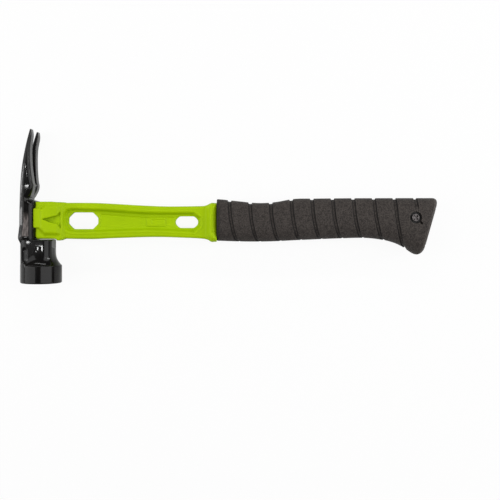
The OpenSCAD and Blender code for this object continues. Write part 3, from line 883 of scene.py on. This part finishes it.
def cap_shape(x, y, z):
    """How far a point lies outside the cap."""
    side, _, _ = grip_outline(x, y, z)
    from_butt = (x - butt_x(y)) * butt_lean
    plate = common(side, -from_butt - cap_t, 0.5)
    tread = rise((tread_half_w - np.abs((y + 4) % tread_pitch - tread_pitch / 2)) / 0.5)
    tread = tread_depth * tread * rise((tread_half_l - np.abs(z)) / 0.6)
    tread = tread * rise((tread_half_h - np.abs(y + 5)) / 0.6)
    plate = np.maximum(plate, from_butt + butt_dome * z**2 + tread)
    spigot = np.maximum(np.abs(y + 2) - spigot_half_h, np.abs(z) - spigot_half_t)
    spigot = np.maximum(spigot, cap_low[0] - x)
    return np.minimum(plate, np.maximum(spigot, from_butt + cap_round))


cap = sculpt("butt_cap", cap_shape, cap_low, cap_high, 0.42)
hard_rubber = rubber("hard_rubber", colour(46, 41, 39), colour(84, 77, 72), 0.55)
settle(cap, hard_rubber, "cap_rubber", "grip_cap")

# ---------------------------------------------------------------------------------------
# Grip core: a rigid sleeve of glass-filled nylon, injection moulded to fit over the tang.
# The rubber hides it, and it keeps the shape that it has in the frame.
# ---------------------------------------------------------------------------------------

nylon, start = new_material("filled_nylon")
place = on_piece(start)
fibres = noise(start, place, 1800.0, 4.0)
principled(
    start,
    {"Base Color": fibres.mix(colour(24, 23, 23), colour(38, 37, 36)), "Roughness": 0.5 + 0.2 * fibres},
    fibres,
    0.00006,
)
refinish("grip_core", nylon)

# ---------------------------------------------------------------------------------------
# Grip screw and barrel nut: a cross-recess machine screw and a slotted nut, cold headed
# and blackened. They clamp the core's two bosses on the tang through its cross hole.
# ---------------------------------------------------------------------------------------

nut_low, nut_high = (from_seat(p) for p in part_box("grip_barrel_nut"))
screw_head_h = 2.4
screw_head_r = 3.3
screw_shank_r = 2
cross_half_l, cross_half_w, cross_depth = 2.35, 0.7, 1.6
sleeve_r = 3
sleeve_bore_r = 2.05
slot_half_t = 0.6


def grip_screw_shape(x, y, z):
    """How far a point lies outside the screw."""
    u, v = x - screw_x, y - screw_y
    radius = np.hypot(u, v)
    top = screw_high[2]
    head_part = common(radius - screw_head_r, np.abs(z - top + screw_head_h / 2) - screw_head_h / 2, 0.6)
    shank = np.maximum(
        radius - screw_shank_r, np.abs(z - (screw_low[2] + top) / 2) - (top - screw_low[2]) / 2 + 0.5
    )
    a, b = np.abs(u + v) * diagonal, np.abs(u - v) * diagonal
    wing_l = cross_half_l - 0.5 * np.maximum(0, top - z)
    cross = np.minimum(np.maximum(a - wing_l, b - cross_half_w), np.maximum(b - wing_l, a - cross_half_w))
    return cut(np.minimum(head_part, shank), np.maximum(cross, top - cross_depth - z), 0.15)


def barrel_nut_shape(x, y, z):
    """How far a point lies outside the barrel nut."""
    u, v = x - screw_x, y - screw_y
    radius = np.hypot(u, v)
    bottom = nut_low[2]
    head_part = common(radius - screw_head_r, np.abs(z - bottom - screw_head_h / 2) - screw_head_h / 2, 0.6)
    sleeve_l = nut_high[2] - bottom - screw_head_h / 2
    sleeve = np.maximum(radius - sleeve_r, np.abs(z - nut_high[2] + sleeve_l / 2) - sleeve_l / 2)
    bore = np.maximum(radius - sleeve_bore_r, bottom + screw_head_h - z)
    slot = np.maximum(np.abs(v) - slot_half_t, z - bottom - screw_head_h / 2)
    return cut(np.maximum(np.minimum(head_part, sleeve), -bore), slot, 0.15)


screw = sculpt("grip_screw_black", grip_screw_shape, screw_low, screw_high, 0.16)
settle(screw, black_oxide, "bolt_steel", "grip_screw")
nut = sculpt("barrel_nut_black", barrel_nut_shape, nut_low, nut_high, 0.16)
settle(nut, black_oxide, "bolt_steel", "grip_barrel_nut")

# ---------------------------------------------------------------------------------------
# Stage: a plain white table that keeps the shadow, a wide soft lamp at each side, thin
# strips that draw the edges and small lamps for glints, in a dim room that is white to the
# camera, which looks straight down on the hammer's side.
# ---------------------------------------------------------------------------------------

table_mesh = bpy.data.meshes.new("table")
table_half = 4.0
table_corners = [(x * table_half, y * table_half, 0) for x, y in ((-1, -1), (1, -1), (1, 1), (-1, 1))]
table_mesh.from_pydata(table_corners, [], [(0, 1, 2, 3)])
table = bpy.data.objects.new("table", table_mesh)
bpy.context.scene.collection.objects.link(table)
table.location.z = cad_box[0].z
white, start = new_material("white_table")
seen = start.node("ShaderNodeLightPath", {}, {}, "Is Camera Ray")
mirrored = start.node("ShaderNodeLightPath", {}, {}, "Is Glossy Ray")
glow = start.node("ShaderNodeEmission", {}, {"Color": (1, 1, 1, 1), "Strength": 1.0})
chalk = start.node("ShaderNodeBsdfDiffuse", {}, {"Color": (0.93, 0.93, 0.93, 1)})
ground = start.node("ShaderNodeMixShader", {}, {0: seen * 0.93 + mirrored * 0.3, 1: chalk, 2: glow})
start.node("ShaderNodeOutputMaterial", {}, {"Surface": ground})
table_mesh.materials.append(white)


def soft_lamp(name, place, aim, width, height, radiance):
    """An area lamp that looks from one point at another."""
    data = bpy.data.lights.new(name, "AREA")
    data.shape = "RECTANGLE"
    data.size, data.size_y = width, height
    data.energy = radiance * np.pi * width * height
    lamp = bpy.data.objects.new(name, data)
    bpy.context.scene.collection.objects.link(lamp)
    lamp.location = place
    lamp.rotation_euler = (Vector(aim) - Vector(place)).to_track_quat("-Z", "Y").to_euler()


soft_lamp("left_softbox", (-0.95, 0.0, 0.65), (-0.05, 0, 0), 0.9, 1.3, 1.7)
soft_lamp("right_softbox", (0.60, 0.0, 0.80), (0.05, 0, 0), 0.7, 1.3, 1.9)
soft_lamp("top_strip", (-0.10, 0.75, 0.60), (-0.15, 0, 0), 0.9, 0.06, 14.0)
soft_lamp("right_strip", (0.90, 0.10, 0.26), (-0.15, 0.02, 0), 0.05, 1.0, 16.0)
soft_lamp("left_strip", (-1.10, 0.00, 0.26), (-0.15, 0.02, 0), 0.05, 1.0, 12.0)
soft_lamp("glint", (-0.297, -0.056, 0.60), (-0.16, -0.03, 0), 0.008, 0.010, 70.0)
soft_lamp("small_glint", (-0.318, -0.044, 0.60), (-0.16, -0.03, 0), 0.007, 0.007, 50.0)

world = bpy.data.worlds.new("room")
bpy.context.scene.world = world
world.use_nodes = True
world.node_tree.nodes.clear()
start = Value(world.node_tree)
room_light = 0.14
seen = start.node("ShaderNodeLightPath", {}, {}, "Is Camera Ray")
brightness = room_light + (1 - room_light) * seen
room = start.node("ShaderNodeBackground", {}, {"Color": (1, 1, 1, 1), "Strength": brightness})
start.node("ShaderNodeOutputWorld", {}, {"Surface": room})

camera_height = 0.650
view_width = 0.428
camera_data = bpy.data.cameras.new("camera")
camera_data.sensor_width = 36.0
camera_data.lens = camera_data.sensor_width * camera_height / view_width
camera_data.shift_x = 0.048
camera_data.shift_y = -0.058
camera = bpy.data.objects.new("camera", camera_data)
bpy.context.scene.collection.objects.link(camera)
camera.location = seat + Vector((0.1614, -0.0017, camera_height))
bpy.context.scene.camera = camera
bpy.context.scene.view_settings.view_transform = "Standard"
